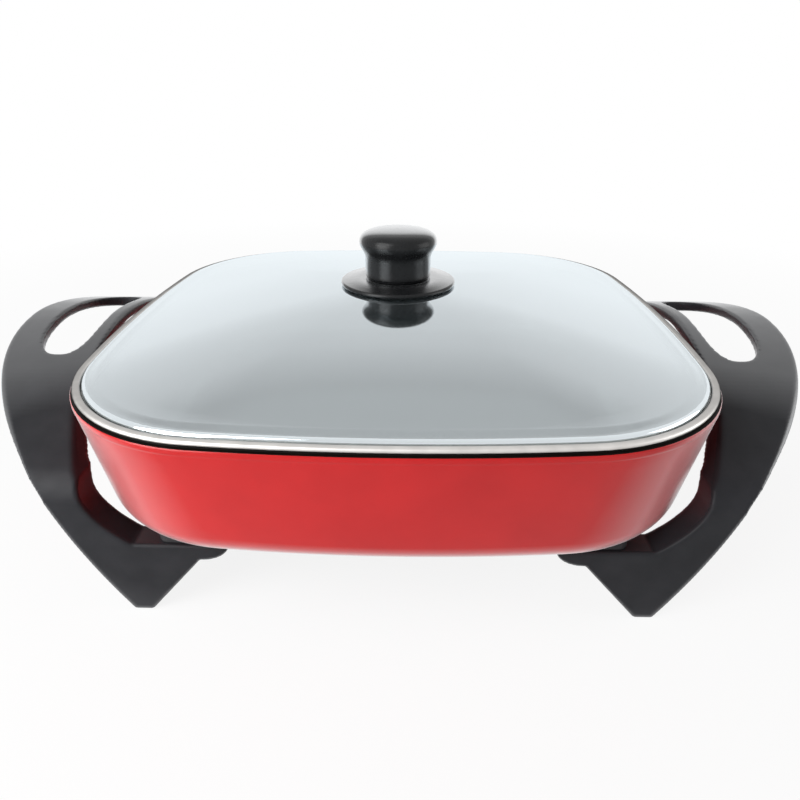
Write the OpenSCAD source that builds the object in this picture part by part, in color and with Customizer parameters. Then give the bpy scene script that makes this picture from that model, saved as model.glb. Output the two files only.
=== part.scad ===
// Electric hot pot: a square pan on two handle frames, a glass lid with a knob, a heating ring underneath.
// Sizes are in millimetres. The table is z = 0 and the front faces -y.

/* [Body] */
// Width of the pan and the lid, across and front to back
body_w = 320; // [308:1:332]
// Radius of the gently bowed sides
side_r = 850; // [740:10:960]
// Radius of the four corners
corner_r = 84; // [80:1:88]
// Height of the middle of the lid rim above the table
rim_z = 113.6; // [109:0.2:120]

/* [Pan] */
// Depth from the lip to the outside of the bottom
pan_depth = 66.8; // [65:0.2:70]
// Thickness of the wall
wall_t = 5.4; // [4.6:0.1:6]
// Thickness of the floor
floor_t = 5; // [4.5:0.1:6]
// Lean of the wall from upright, in degrees
wall_lean = 10.5; // [8:0.5:13]
// Radius of the outside bottom edge
bottom_r = 19; // [15:0.5:23]
// Radius between the wall and the floor inside
inside_r = 15; // [11:0.5:19]
// Height of the dark lip under the lid
lip_h = 0.6; // [0.4:0.1:1.2]
// How far the lip stands back from the lid rim
lip_set = 0.8; // [0.4:0.1:1.2]
// Height of the bead under the lip
bead_h = 3.4; // [2.4:0.1:4.4]
// How far the bead stands out past the lid rim
bead_out = 1.2; // [0.8:0.1:1.8]
// How far the wall stands out just under the bead
wall_out = 0.9; // [0.4:0.1:1.4]
// Height of the cast pads that meet the handle arms
pad_h = 4; // [3:0.25:5]
// Width of a cast pad
pad_w = 12; // [10:0.5:14]
// Length of a cast pad between its round ends
pad_l = 10; // [6:0.5:12]

/* [Lid] */
// Thickness of the glass
glass_t = 3; // [2.6:0.1:3.6]
// Radius of the top edge of the glass
edge_r = 2; // [1.2:0.1:2.4]
// Width of the shoulder of the glass inside its edge
shoulder_w = 6.5; // [5:0.5:10]
// Rise of the shoulder
shoulder_h = 1; // [0.6:0.1:1.6]
// Rise of the glass from the shoulder to the middle
crown_h = 17.4; // [15:0.2:20]
// Thickness of the steel rim sheet
sheet_t = 0.6; // [0.5:0.05:0.7]
// Height of the rolled rim
rim_h = 2.4; // [2:0.1:3.2]
// Width of the rolled rim
rim_w = 4; // [3.4:0.1:5]
// Gap between the pan lip and the skirt under the lid
skirt_gap = 2.4; // [1.8:0.1:3.2]
// Depth of the skirt below the middle of the rim
skirt_low = 5.5; // [4:0.25:8]

/* [Knob] */
// Diameter of the flange
flange_d = 67.5; // [60:0.5:76]
// Thickness of the flange
flange_t = 2.5; // [2:0.1:3.5]
// Diameter of the knob cap
cap_d = 45.2; // [44:0.2:50]
// Diameter of the knob neck
neck_d = 38.6; // [34:0.2:40]
// Height of the straight neck
neck_h = 11.8; // [9:0.2:14]
// Height of the narrower base under the neck
base_h = 1.2; // [0.8:0.1:2]
// How far the base stands back from the neck
base_in = 0.8; // [0.5:0.1:1.2]
// Height of the widest part of the cap above the flange
cap_z = 20.6; // [18:0.2:22]
// Height of the knob above the flange
knob_h = 28.3; // [26:0.1:32]
// Diameter of the threaded insert in the knob
insert_d = 10; // [9:0.25:12]
// Length of the insert
insert_h = 18; // [16:0.5:20]
// Diameter of the knob screw
knob_screw_d = 5; // [4:0.25:5.5]
// Thickness of each gasket
gasket_t = 0.6; // [0.5:0.1:1]
// Diameter of the gasket on top of the glass
gasket_d = 22; // [18:0.5:26]

/* [Handles] */
// How far a grip stands out past the body
grip_reach = 62; // [58:0.5:67]
// Width of the grip bar outside the finger hole
grip_w = 18; // [15:0.5:21]
// Length of the finger hole
hole_len = 101; // [92:1:108]
// Width of the rail between the finger hole and the pan
rail_w = 11; // [9:0.5:13]
// Height of the grip above the middle of the lid rim
grip_up = 1.4; // [0:0.2:4]
// Thickness of the grip in the middle
grip_t = 5.5; // [4.5:0.25:7]
// Extra thickness where the grip runs into the legs
root_t = 3; // [2:0.25:5]
// Fall of the grip from its middle to the knees
arch_fall = 41; // [38:1:44]
// Distance between the outside faces of the front and rear legs
leg_span = 262; // [256:1:268]
// Thickness of a leg from front to back
leg_t = 16; // [14:0.5:18]
// Length of the rounding over a knee
knee_round = 10; // [6:0.5:14]
// How far the knee stands out past the body
knee_out = 5.5; // [4:0.5:8]
// How far the inside of a leg stands in from the body side
leg_in = 14.8; // [13:0.2:16]
// Outward bow of a leg
leg_bow = 5.6; // [3:0.2:8]
// How far the foot stands in from the body side
foot_in = 29; // [25:0.5:33]
// Width of a foot on the table
foot_w = 9.5; // [7:0.5:12]
// Reach of an arm under the pan from the body side
arm_in = 81.5; // [78:0.5:85]
// Thickness of an arm
arm_t = 9; // [8:0.25:10]
// Length of the rounded end of an arm
arm_round = 14; // [11:0.5:16]
// Gap between a handle and the pan
handle_gap = 2; // [1.5:0.25:3]
// Diameter of a handle screw
screw_d = 4; // [3.5:0.25:4.5]

/* [Heater] */
// Radius of the heating ring
ring_r = 88; // [82:1:92]
// Diameter of the heating tube
tube_d = 7; // [6:0.25:7.5]
// Bend radius of the tube where its tails leave the ring
bend_r = 14; // [12:0.5:18]
// Distance between the two terminal pins
pin_pitch = 25.4; // [24:0.1:27]
// Depth of the tube's centre below the pan bottom
tube_drop = 7; // [6.5:0.25:8]
// Width of the cast ridge that holds the tube
ridge_w = 22; // [20:0.5:24]
// Length of an element clamp
clamp_l = 22; // [20:0.5:24]
// Thickness of an element clamp
clamp_t = 1.2; // [1:0.1:2]
// Width of an element clamp
clamp_w = 10; // [8:0.5:12]
// Diameter of a clamp screw
clamp_screw_d = 2.5; // [2:0.1:3]

/* [Inlet] */
// Diameter of the thick end of a terminal pin
pin_d = 5; // [4.6:0.1:5.6]
// Length of the thick end of a terminal pin
pin_l = 19; // [16:0.5:21]
// Inside diameter of the probe sleeve
probe_d = 6.6; // [6:0.1:7]
// Outside diameter of the probe sleeve
sleeve_d = 9.2; // [8.8:0.1:9.6]
// Depth of the probe sleeve
probe_l = 40; // [36:0.5:42]
// How far the guard's back wall stands in from the body side
guard_in = 18; // [14:0.5:19]
// Length of the guard from its back wall to its mouth
guard_l = 28; // [26:0.5:32]
// Width of the guard
guard_w = 56; // [54:0.5:60]
// Height of the guard
guard_h = 18; // [17:0.25:19]
// Wall thickness of the guard
guard_t = 2.4; // [2:0.1:2.8]
// Diameter of the guard screws and the earth screw
guard_screw_d = 3; // [2.5:0.1:3.5]
// Thickness of the earth strip
strip_t = 0.8; // [0.6:0.1:1]
// Width of the earth strip
strip_w = 8; // [7:0.5:9]

/* [Fits] */
// Clearance around screws and pins in their holes
hole_gap = 0.3; // [0.2:0.05:0.4]
// Clearance around seated inserts and sleeves
seat_gap = 0.1; // [0.05:0.05:0.2]
// Clearance between the glass and the rolled rim
glass_gap = 0.3; // [0.2:0.05:0.5]
// Clearance between the lid rim and the lip of the pan
lid_gap = 0.2; // [0.1:0.05:0.4]

/* [Hidden] */
$fn = 96;
// Swept lengths run into each other by a hair so that they join
lap = 0.02;
lap_a = 0.3;
half_w = body_w / 2;
side_c = side_r - half_w;
corner_c = (sqrt(2 * pow(side_r - corner_r, 2) - pow(side_c, 2)) - side_c) / 2;
turn = atan2(corner_c, side_c + corner_c);
roll_r = rim_h / 2;
lip_z = rim_z - roll_r - lid_gap;
pan_z = lip_z - pan_depth;
pad_z = pan_z - pad_h;
wall_top = lip_z - lip_h - bead_h;
lean = tan(wall_lean);
wall_gap = wall_t / cos(wall_lean);
// The swept floor runs in this far, and a square plate laps onto it
floor_in = 60;
floor_lap = 4;
mouth = wall_out + lean * (lip_z - wall_top) - wall_gap;
skirt_o = -mouth + skirt_gap;
glass_edge = rim_w + glass_gap;
glass_low = rim_z - roll_r + sheet_t;
shoulder_o = glass_edge + edge_r;
crown_o = shoulder_o + shoulder_w;
apex_z = glass_low + glass_t + shoulder_h + crown_h;
// From the middle of the lid to a corner of its crown
crown_reach = sqrt(2) * corner_c + corner_r - crown_o;
flange_z = apex_z + gasket_t;
knob_z = flange_z + flange_t;
// The flange falls with the glass from its middle to its edge
flange_fall = gasket_t + 0.9 * crown_fall((flange_d - flange_t) / 2 / crown_reach);
washer_t = 0.8;
head_h = 3;
// Cast features run into the floor by this much
sink = 1;
// Depth of a screw hole in the casting
hole_deep = 7;
arm_end = half_w - arm_in;
arm_low = pad_z - arm_t;
leg_y = leg_span / 2;
grip_top = rim_z + grip_up;
knee_z = grip_top - arch_fall;
knee_y = leg_y - knee_round;
rail_x = half_w + bead_out + handle_gap;
hole_x = rail_x + rail_w;
screw_x = arm_end + arm_round + screw_d + 1;
screw_y = leg_y - leg_t / 2;
washer_d = 2 * screw_d + 1;
tube_z = pan_z - tube_drop;
ridge_z = tube_z - tube_d / 2 - hole_gap;
guard_x = half_w - guard_in;
ring_gap = asin((pin_pitch / 2 + bend_r) / (ring_r + bend_r));
seal_l = 6;
shank_d = pin_d - 1.4;
tail_end = guard_x - seal_l;
clamp_hole = tube_d / 2 + hole_gap + (ridge_w - tube_d) / 4;
guard_z = tube_z - guard_h / 2 - 1;
ear_w = 9;
ear_t = 5;
ear_y = guard_w / 2 - ear_w / 2;
lug_z = tube_z + 1;
lug_x = guard_x - 23;
boss_x = guard_x - 6;
boss_w = 13;
boss_z = tube_z - sleeve_d / 2 - 1.4;
// Closed inner end of the probe sleeve
plug_l = 8;
earth_x = boss_x - probe_l;
// The strip and its boss run on past the earth screw
strip_end = 6;

// Node to draw, or all of them

function arc(c, r, a, b, n = 8) =
    [for (i = [0:n]) let (t = a + (b - a) * i / n) c + r * [cos(t), sin(t)]];

function curve(p, q, r, n = 8) =
    [for (i = [0:n]) let (t = i / n) p * pow(1 - t, 2) + q * 2 * t * (1 - t) + r * t * t];

function turned(p, a) = [p[0] * cos(a) - p[1] * sin(a), p[0] * sin(a) + p[1] * cos(a)];

// One side and one corner of the body outline, moved out by o
function quarter(o, side_n = 6, corner_n = 12) = concat(
    [for (i = [0:side_n - 1]) let (a = turn * (2 * i / side_n - 1))
        [-side_c, 0] + (side_r + o) * [cos(a), sin(a)]],
    [for (i = [0:corner_n - 1]) let (a = turn + (90 - 2 * turn) * i / corner_n)
        [corner_c, corner_c] + (corner_r + o) * [cos(a), sin(a)]]
);

function outline(o) = [for (q = [0:3]) for (p = quarter(o)) turned(p, 90 * q)];

// Sweeps a section around the body: x is the distance out from the body outline
module around_body() {
    for (q = [0:3]) {
        rotate(90 * q) translate([-side_c, 0, 0]) rotate(-turn)
            rotate_extrude(angle = 2 * turn, $fn = 720) translate([side_r, 0]) children();
        rotate(90 * q) translate([corner_c, corner_c, 0]) rotate(turn - lap_a)
            rotate_extrude(angle = 90 - 2 * turn + 2 * lap_a, $fn = 144)
                translate([corner_r - lap, 0]) children();
    }
}

module tube(od, id, h) {
    difference() {
        cylinder(d = od, h = h);
        translate([0, 0, -1]) cylinder(d = id, h = h + 2);
    }
}

// Pan head screw standing on its head, shank upwards
module screw(d, l, head_d, head_t) {
    cylinder(d = head_d, h = head_t);
    cylinder(d = d, h = head_t + l);
}

module mirror_copy(v) {
    children();
    mirror(v) children();
}

// Where a wall leaning out from (o, z) meets the floor, with the corner rounded by r
function rounded_corner(o, z, r) =
    let (c = [o - r / tan(45 + wall_lean / 2), z + r]) arc(c, r, -90, -wall_lean, 10);

pan_section = concat(
    [[-floor_in, pan_z]],
    rounded_corner(wall_out - lean * (wall_top - pan_z), pan_z, bottom_r),
    [[wall_out, wall_top], [bead_out, wall_top + 0.6], [bead_out, lip_z - lip_h]],
    [[-lip_set, lip_z - lip_h], [-lip_set, lip_z], [mouth, lip_z]],
    [for (p = [10:-1:0])
        rounded_corner(mouth - lean * (pan_depth - floor_t), pan_z + floor_t, inside_r)[p]],
    [[-floor_in, pan_z + floor_t]]
);

module pan() {
    plate_w = body_w - 2 * (floor_in - floor_lap);
    color("firebrick") difference() {
        union() {
            around_body() polygon(pan_section);
            translate([0, 0, pan_z + floor_t / 2]) cube([plate_w, plate_w, floor_t], center = true);
            heater_ridge();
            mirror_copy([1, 0, 0]) mirror_copy([0, 1, 0]) cast_pad();
            mirror_copy([0, 1, 0]) translate([lug_x, ear_y, lug_z])
                cylinder(d = ear_w, h = pan_z - lug_z + sink);
            translate([earth_x - strip_end, -boss_w / 2, boss_z])
                cube([boss_x - earth_x + strip_end, boss_w, pan_z - boss_z + sink]);
        }
        mirror_copy([1, 0, 0]) mirror_copy([0, 1, 0]) translate([screw_x, screw_y, pad_z - 1])
            cylinder(d = screw_d + 2 * hole_gap, h = pad_h + floor_t - 1);
        mirror_copy([0, 1, 0]) translate([lug_x, ear_y, lug_z - 1])
            cylinder(d = guard_screw_d + 2 * hole_gap, h = hole_deep + 1);
        for (a = [45:90:315], s = [-1, 1]) rotate(a) translate([ring_r + s * clamp_hole, 0, ridge_z - 1])
            cylinder(d = clamp_screw_d + 2 * hole_gap, h = hole_deep + 1);
        translate([earth_x + 2, 0, tube_z]) rotate([0, 90, 0])
            cylinder(d = sleeve_d + 2 * seat_gap, h = probe_l);
        translate([earth_x - 2, 0, boss_z - 1]) cylinder(d = guard_screw_d + 2 * hole_gap, h = hole_deep + 1);
    }
}

// Broken ring under the floor with a groove for the heating tube
module heater_ridge() {
    rotate(ring_gap) rotate_extrude(angle = 360 - 2 * ring_gap) translate([ring_r, 0]) difference() {
        translate([-ridge_w / 2, ridge_z]) square([ridge_w, pan_z - ridge_z + sink]);
        translate([0, tube_z]) circle(d = tube_d + 2 * hole_gap);
        translate([-tube_d / 2 - hole_gap, ridge_z - 1])
            square([tube_d + 2 * hole_gap, tube_z - ridge_z + 1]);
    }
}

module cast_pad() {
    cast_h = pad_h + floor_t - 0.5;
    for (x = [screw_x, screw_x + pad_l]) translate([x, screw_y, pad_z]) cylinder(d = pad_w, h = cast_h);
    translate([screw_x, screw_y - pad_w / 2, pad_z]) cube([pad_l, pad_w, cast_h]);
}

module heating_element() {
    color("dimgray") translate([0, 0, tube_z]) {
        rotate(ring_gap) rotate_extrude(angle = 360 - 2 * ring_gap) translate([ring_r, 0]) circle(d = tube_d);
        mirror_copy([0, 1, 0]) {
            translate((ring_r + bend_r) * [cos(ring_gap), sin(ring_gap), 0]) rotate(180 + ring_gap - 1)
                rotate_extrude(angle = 92 - ring_gap) translate([bend_r, 0]) circle(d = tube_d - 2 * lap);
            translate([(ring_r + bend_r) * cos(ring_gap), pin_pitch / 2, 0]) rotate([0, 90, 0])
                cylinder(d = tube_d, h = tail_end - (ring_r + bend_r) * cos(ring_gap));
        }
    }
}

module element_clamps() {
    color("silver") for (a = [45:90:315]) rotate(a) translate([ring_r, 0, ridge_z - clamp_t]) difference() {
        translate([-clamp_l / 2, -clamp_w / 2, 0]) cube([clamp_l, clamp_w, clamp_t]);
        for (s = [-1, 1]) translate([s * clamp_hole, 0, -1])
            cylinder(d = clamp_screw_d + 2 * hole_gap, h = clamp_t + 2);
    }
}

module clamp_screws() {
    color("gray") for (a = [45:90:315], s = [-1, 1]) rotate(a)
        translate([ring_r + s * clamp_hole, 0, ridge_z - clamp_t - clamp_screw_d / 2])
            screw(clamp_screw_d, clamp_t + hole_deep - 1, 2 * clamp_screw_d, clamp_screw_d / 2);
}

// Thin shank through the seal and the back wall, then the thick end inside the guard
module terminal_pin() {
    color("goldenrod") translate([tail_end, pin_pitch / 2, tube_z]) rotate([0, 90, 0]) {
        cylinder(d = shank_d, h = seal_l + guard_t + 2);
        translate([0, 0, seal_l + guard_t + 1]) cylinder(d = pin_d, h = pin_l);
    }
}

module terminal_pin_front() {
    mirror([0, 1, 0]) terminal_pin();
}

module terminal_pin_rear() {
    terminal_pin();
}

module end_seals() {
    color("ivory") mirror_copy([0, 1, 0]) translate([tail_end, pin_pitch / 2, tube_z]) rotate([0, 90, 0])
        tube(tube_d + 1, shank_d + 2 * seat_gap, seal_l);
}

module probe_sleeve() {
    color("lightgray") translate([earth_x + 2, 0, tube_z]) rotate([0, 90, 0]) difference() {
        cylinder(d = sleeve_d, h = probe_l + plug_l);
        translate([0, 0, plug_l]) cylinder(d = probe_d, h = probe_l + 1);
    }
}

module inlet_guard() {
    color("black") difference() {
        union() {
            translate([guard_x, -guard_w / 2, guard_z]) cube([guard_l, guard_w, guard_h]);
            mirror_copy([0, 1, 0]) translate([lug_x - ear_w / 2, ear_y - ear_w / 2, lug_z - ear_t])
                cube([guard_x - lug_x + ear_w / 2 + sink, ear_w, ear_t]);
        }
        translate([guard_x + guard_t, guard_t - guard_w / 2, guard_z + guard_t])
            cube([guard_l, guard_w - 2 * guard_t, guard_h - 2 * guard_t]);
        mirror_copy([0, 1, 0]) translate([guard_x - 1, pin_pitch / 2, tube_z]) rotate([0, 90, 0])
            cylinder(d = pin_d + 1, h = guard_t + 2);
        translate([guard_x - 1, 0, tube_z]) rotate([0, 90, 0])
            cylinder(d = sleeve_d + 2 * hole_gap, h = guard_t + 2);
        translate([guard_x - 1, -strip_w / 2 - hole_gap, boss_z - strip_t - hole_gap])
            cube([guard_t + 2, strip_w + 2 * hole_gap, strip_t + 2 * hole_gap]);
        mirror_copy([0, 1, 0]) translate([lug_x, ear_y, lug_z - ear_t - 1])
            cylinder(d = guard_screw_d + 2 * hole_gap, h = ear_t + 2);
    }
}

module guard_screws() {
    color("gray") mirror_copy([0, 1, 0]) translate([lug_x, ear_y, lug_z - ear_t - guard_screw_d / 2])
        screw(guard_screw_d, ear_t + pan_z - lug_z, 2 * guard_screw_d, guard_screw_d / 2);
}

module earth_strip() {
    color("goldenrod") difference() {
        translate([earth_x - strip_end, -strip_w / 2, boss_z - strip_t])
            cube([guard_x + guard_l - earth_x, strip_w, strip_t]);
        translate([earth_x - 2, 0, boss_z - 2]) cylinder(d = guard_screw_d + 2 * hole_gap, h = 3);
    }
}

module earth_screw() {
    color("gray") translate([earth_x - 2, 0, boss_z - strip_t - guard_screw_d / 2])
        screw(guard_screw_d, strip_t + hole_deep - 1, 2 * guard_screw_d, guard_screw_d / 2);
}

// Top view of a handle: the outer edge swings out from the knees to the grip
function grip_edge(y) =
    half_w + knee_out + (grip_reach - knee_out) * cos(90 * pow(abs(y) / leg_y, 1.25));

grip_plan = concat(
    [[arm_end - 5, -leg_y - 2], [grip_edge(leg_y), -leg_y - 2]],
    [for (i = [-16:16]) [grip_edge(i * leg_y / 16), i * leg_y / 16]],
    [[grip_edge(leg_y), leg_y + 2], [arm_end - 5, leg_y + 2]]
);

// Finger hole between the rail and the grip bar, rounded at both ends
function hole_side(y, s) =
    let (a = hole_x, b = grip_edge(y) - grip_w, t = abs(2 * y / hole_len))
    [(a + b) / 2 + s * (b - a) / 2 * pow(1 - pow(t, 6), 0.4), y];

hole_plan = concat(
    [for (i = [-10:10]) hole_side(sin(9 * i) * hole_len / 2, 1)],
    [for (i = [9:-1:-9]) hole_side(sin(9 * i) * hole_len / 2, -1)]
);

// Front view of a handle: foot, bowed leg, grip, and the arm that runs in under the pan
foot = [half_w - foot_in, 0];
knee = [half_w + knee_out - 2, knee_z - 6];
inside = half_w - leg_in;
root_x = 20;
grip_front = concat(
    curve(foot, (foot + knee) / 2 + [leg_bow, 0], knee),
    [for (i = [1:8]) curve(knee, knee + [4, 11], [half_w + grip_reach + 2, grip_top - 16])[i]],
    [[half_w + grip_reach + 2, grip_top], [rail_x + 3.6, grip_top]],
    [[half_w + 1, knee_z + 19], [inside + 1, knee_z + 1]],
    curve([inside, knee_z - 7], [inside - 3, pad_z + 12], [inside - root_x, pad_z], 10),
    [for (a = [0:10:90]) [arm_end + arm_round * (1 - cos(a)), pad_z - arm_t * sin(a)]],
    [[foot[0] - foot_w - arm_low * 0.87, arm_low], [foot[0] - foot_w, 0]]
);

// Side view of a handle: an arched strap that falls from the grip to upright legs
function strap_top(y) = grip_top - arch_fall * pow(abs(y) / leg_y, 1.73);

function strap_low(y) = strap_top(y) - grip_t - root_t * pow(y / 100, 2);

root_y = leg_y - leg_t - 8;
leg_back = curve(
    [root_y, strap_low(root_y)],
    [leg_y - leg_t, strap_low(root_y) - 4],
    [leg_y - leg_t, pad_z + 16],
    6
);
knee_curve = curve([leg_y, knee_z - knee_round], [leg_y, knee_z], [knee_y, strap_top(knee_y)], 6);
grip_side = concat(
    [[-leg_y, 0]],
    [for (p = knee_curve) [-p[0], p[1]]],
    [for (i = [-12:12]) [i * knee_y / 13, strap_top(i * knee_y / 13)]],
    [for (i = [6:-1:0]) knee_curve[i]],
    [[leg_y, 0], [leg_y - leg_t, 0]],
    [for (i = [6:-1:0]) leg_back[i]],
    [for (i = [9:-1:-9]) [i * root_y / 10, strap_low(i * root_y / 10)]],
    [for (p = leg_back) [-p[0], p[1]]],
    [[leg_t - leg_y, 0]]
);

module right_handle() {
    color("black") difference() {
        intersection() {
            linear_extrude(grip_top) polygon(grip_plan);
            translate([0, leg_y + 1, 0]) rotate([90, 0, 0]) linear_extrude(leg_span + 2) polygon(grip_front);
            rotate([90, 0, 90]) linear_extrude(half_w + grip_reach + 1) polygon(grip_side);
        }
        translate([0, 0, knee_z]) linear_extrude(grip_top) polygon(hole_plan);
        mirror_copy([0, 1, 0]) translate([screw_x, screw_y, arm_low]) {
            translate([0, 0, -1]) cylinder(d = screw_d + 2 * hole_gap, h = arm_t + 2);
            translate([0, 0, -arm_low]) cylinder(d = washer_d + 2 * hole_gap, h = arm_low);
        }
    }
}

module left_handle() {
    mirror([1, 0, 0]) right_handle();
}

module handle_screws() {
    color("gray") mirror_copy([1, 0, 0]) mirror_copy([0, 1, 0])
        translate([screw_x, screw_y, arm_low - washer_t - 2.4])
            screw(screw_d, washer_t + arm_t + pad_h + 2, 2 * screw_d, 2.4);
}

module handle_washers() {
    color("silver") mirror_copy([1, 0, 0]) mirror_copy([0, 1, 0])
        translate([screw_x, screw_y, arm_low - washer_t])
            tube(washer_d, screw_d + 2 * hole_gap, washer_t);
}

function ring(o, s, z) = [for (p = outline(o)) [p[0] * s, p[1] * s, z]];

// Fall of the crown from its middle to a share s of the way out
function crown_fall(s) = crown_h * s * s * (1.2 - 0.2 * s * s);

// One face of the glass from its shoulder to the screw hole, lowered by d
function glass_face(d) = concat(
    [for (i = [0:5]) ring(-shoulder_o - shoulder_w * i / 5, 1,
        glass_low + glass_t - d + shoulder_h * (1 - cos(36 * i)) / 2)],
    [for (s = [0.84, 0.66, 0.48, 0.32, 0.2]) ring(-crown_o, s, apex_z - d - crown_fall(s))],
    [ring(-crown_o, 0.1, apex_z - d)],
    [[for (p = outline(-crown_o)) let (s = (knob_screw_d / 2 + 1.5) / norm(p))
        [p[0] * s, p[1] * s, apex_z - d]]]
);

// Closes rings of as many points each, taken in order around a section, into one solid
module loft(rings) {
    n = len(rings[0]);
    m = len(rings);
    polyhedron(
        points = [for (r = rings) each r],
        faces = [for (j = [0:m - 1], i = [0:n - 1]) let (
            a = j * n + i,
            b = j * n + (i + 1) % n,
            c = ((j + 1) % m) * n + (i + 1) % n,
            d = ((j + 1) % m) * n + i
        ) each [[a, c, b], [a, d, c]]]
    );
}

module lid_glass() {
    low = glass_face(glass_t);
    edge = arc([-shoulder_o, glass_low + glass_t - edge_r], edge_r, 0, 72, 4);
    color("lightcyan", 0.4) loft(concat(
        [for (i = [len(low) - 1:-1:0]) low[i]],
        [ring(-glass_edge, 1, glass_low)],
        [for (p = edge) ring(p[0], 1, p[1])],
        glass_face(0)
    ));
}

// Steel sheet rolled round outside the glass, with a ledge under the glass and a skirt inside the pan
rim_section = concat(
    [[-skirt_o - sheet_t, -skirt_low], [-skirt_o, -skirt_low], [-skirt_o, -roll_r]],
    arc([-roll_r, 0], roll_r, -90, 90, 8),
    arc([roll_r - rim_w, 0], roll_r, 90, 180, 4),
    arc([roll_r - rim_w, 0], roll_r - sheet_t, 180, 90, 4),
    arc([-roll_r, 0], roll_r - sheet_t, 90, -90, 8),
    [[-skirt_o - sheet_t, sheet_t - roll_r]]
);

module lid_rim() {
    color("silver") loft([for (p = rim_section) ring(p[0], 1, rim_z + p[1])]);
}

module lid_knob() {
    color("black") translate([0, 0, knob_z]) difference() {
        rotate_extrude() polygon(concat(
            [[0, 0], [neck_d / 2 - base_in, 0], [neck_d / 2 - base_in, base_h]],
            [[neck_d / 2 - 0.2, base_h]],
            curve(
                [neck_d / 2, neck_h],
                [neck_d / 2 + 0.4, cap_z - 3.5],
                [cap_d / 2 - 0.6, cap_z - 1.2]
            ),
            curve([cap_d / 2, cap_z], [cap_d / 2, knob_h - 1], [cap_d / 4, knob_h - 0.6], 10),
            [[0, knob_h]]
        ));
        translate([0, 0, -1]) cylinder(d = insert_d + 2 * seat_gap, h = insert_h + 1);
    }
}

module knob_flange() {
    edge = flange_t / 2;
    color("black") translate([0, 0, flange_z]) rotate_extrude() polygon(concat(
        [[knob_screw_d / 2 + hole_gap, 0], [gasket_d / 2 + 2, 0]],
        arc([flange_d / 2 - edge, edge - flange_fall], edge, -90, 90, 12),
        [[neck_d / 2 + 4, flange_t], [knob_screw_d / 2 + hole_gap, flange_t]]
    ));
}

module knob_insert() {
    color("goldenrod") translate([0, 0, knob_z]) tube(insert_d, knob_screw_d + 2 * hole_gap, insert_h);
}

module knob_screw() {
    stack = washer_t + gasket_t + glass_t + gasket_t + flange_t;
    color("silver") translate([0, 0, knob_z - stack - head_h])
        screw(knob_screw_d, stack + insert_h - 4, 2 * knob_screw_d, head_h);
}

module screw_washer() {
    color("silver") translate([0, 0, apex_z - glass_t - gasket_t - washer_t])
        tube(3 * knob_screw_d - 1, knob_screw_d + 2 * hole_gap, washer_t);
}

module upper_gasket() {
    color("dimgray") translate([0, 0, apex_z]) tube(gasket_d, knob_screw_d + 2 * hole_gap, gasket_t);
}

module lower_gasket() {
    color("dimgray") translate([0, 0, apex_z - glass_t - gasket_t])
        tube(gasket_d - 4, knob_screw_d + 2 * hole_gap, gasket_t);
}

pan();
heating_element();
element_clamps();
clamp_screws();
terminal_pin_front();
terminal_pin_rear();
end_seals();
probe_sleeve();
inlet_guard();
guard_screws();
earth_strip();
earth_screw();
left_handle();
right_handle();
handle_screws();
handle_washers();
lid_glass();
lid_rim();
lid_knob();
knob_flange();
knob_insert();
knob_screw();
screw_washer();
upper_gasket();
lower_gasket();
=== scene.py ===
from math import atan2, cos, pi, radians, sin, sqrt, tan

import bmesh
import bpy
import numpy as np
from mathutils import Matrix


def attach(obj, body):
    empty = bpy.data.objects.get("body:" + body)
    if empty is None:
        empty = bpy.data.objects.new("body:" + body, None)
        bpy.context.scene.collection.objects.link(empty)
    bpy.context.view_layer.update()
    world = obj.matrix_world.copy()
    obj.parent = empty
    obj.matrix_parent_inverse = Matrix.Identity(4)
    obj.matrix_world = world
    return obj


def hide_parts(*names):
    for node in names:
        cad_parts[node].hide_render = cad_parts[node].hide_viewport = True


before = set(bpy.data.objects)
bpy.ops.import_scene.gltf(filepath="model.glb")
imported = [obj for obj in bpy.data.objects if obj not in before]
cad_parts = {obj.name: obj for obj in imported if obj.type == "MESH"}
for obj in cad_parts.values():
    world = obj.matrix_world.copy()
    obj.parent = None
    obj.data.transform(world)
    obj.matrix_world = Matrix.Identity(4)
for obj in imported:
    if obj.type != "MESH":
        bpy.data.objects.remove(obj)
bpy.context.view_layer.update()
scene = bpy.context.scene
mm = 0.001


# lowest and highest corner of a part, in millimetres
def nodeBox(name):
    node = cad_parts[name]
    points = [node.matrix_world @ v.co for v in node.data.vertices]
    return [[pick(p[i] for p in points) / mm for i in range(3)] for pick in (min, max)]


# the body outline is four bowed sides joined by four round corners
body = {
    "halfWidth": nodeBox("lid_rim")[1][0], "sideRadius": 850, "cornerRadius": 84,
    "sideSteps": 14, "cornerSteps": 20,
}


def bodyOutline(offset):
    sideCentre = body["sideRadius"] - body["halfWidth"]
    gap = body["sideRadius"] - body["cornerRadius"]
    cornerCentre = (sqrt(2 * gap ** 2 - sideCentre ** 2) - sideCentre) / 2
    turn = atan2(cornerCentre, sideCentre + cornerCentre)
    quarter = []
    for i in range(body["sideSteps"]):
        a = turn * (2 * i / body["sideSteps"] - 1)
        r = body["sideRadius"] + offset
        quarter.append((r * cos(a) - sideCentre, r * sin(a)))
    for i in range(body["cornerSteps"]):
        a = turn + (pi / 2 - 2 * turn) * i / body["cornerSteps"]
        r = body["cornerRadius"] + offset
        quarter.append((cornerCentre + r * cos(a), cornerCentre + r * sin(a)))
    points = list(quarter)
    for _ in range(3):
        quarter = [(-y, x) for x, y in quarter]
        points += quarter
    return points


def bodyRing(offset, z, scale=1.0):
    return [(x * scale, y * scale, z) for x, y in bodyOutline(offset)]


def roundRing(radius, z, steps=96):
    angles = [2 * pi * i / steps for i in range(steps)]
    return [(radius * cos(a), radius * sin(a), z) for a in angles]


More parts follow.
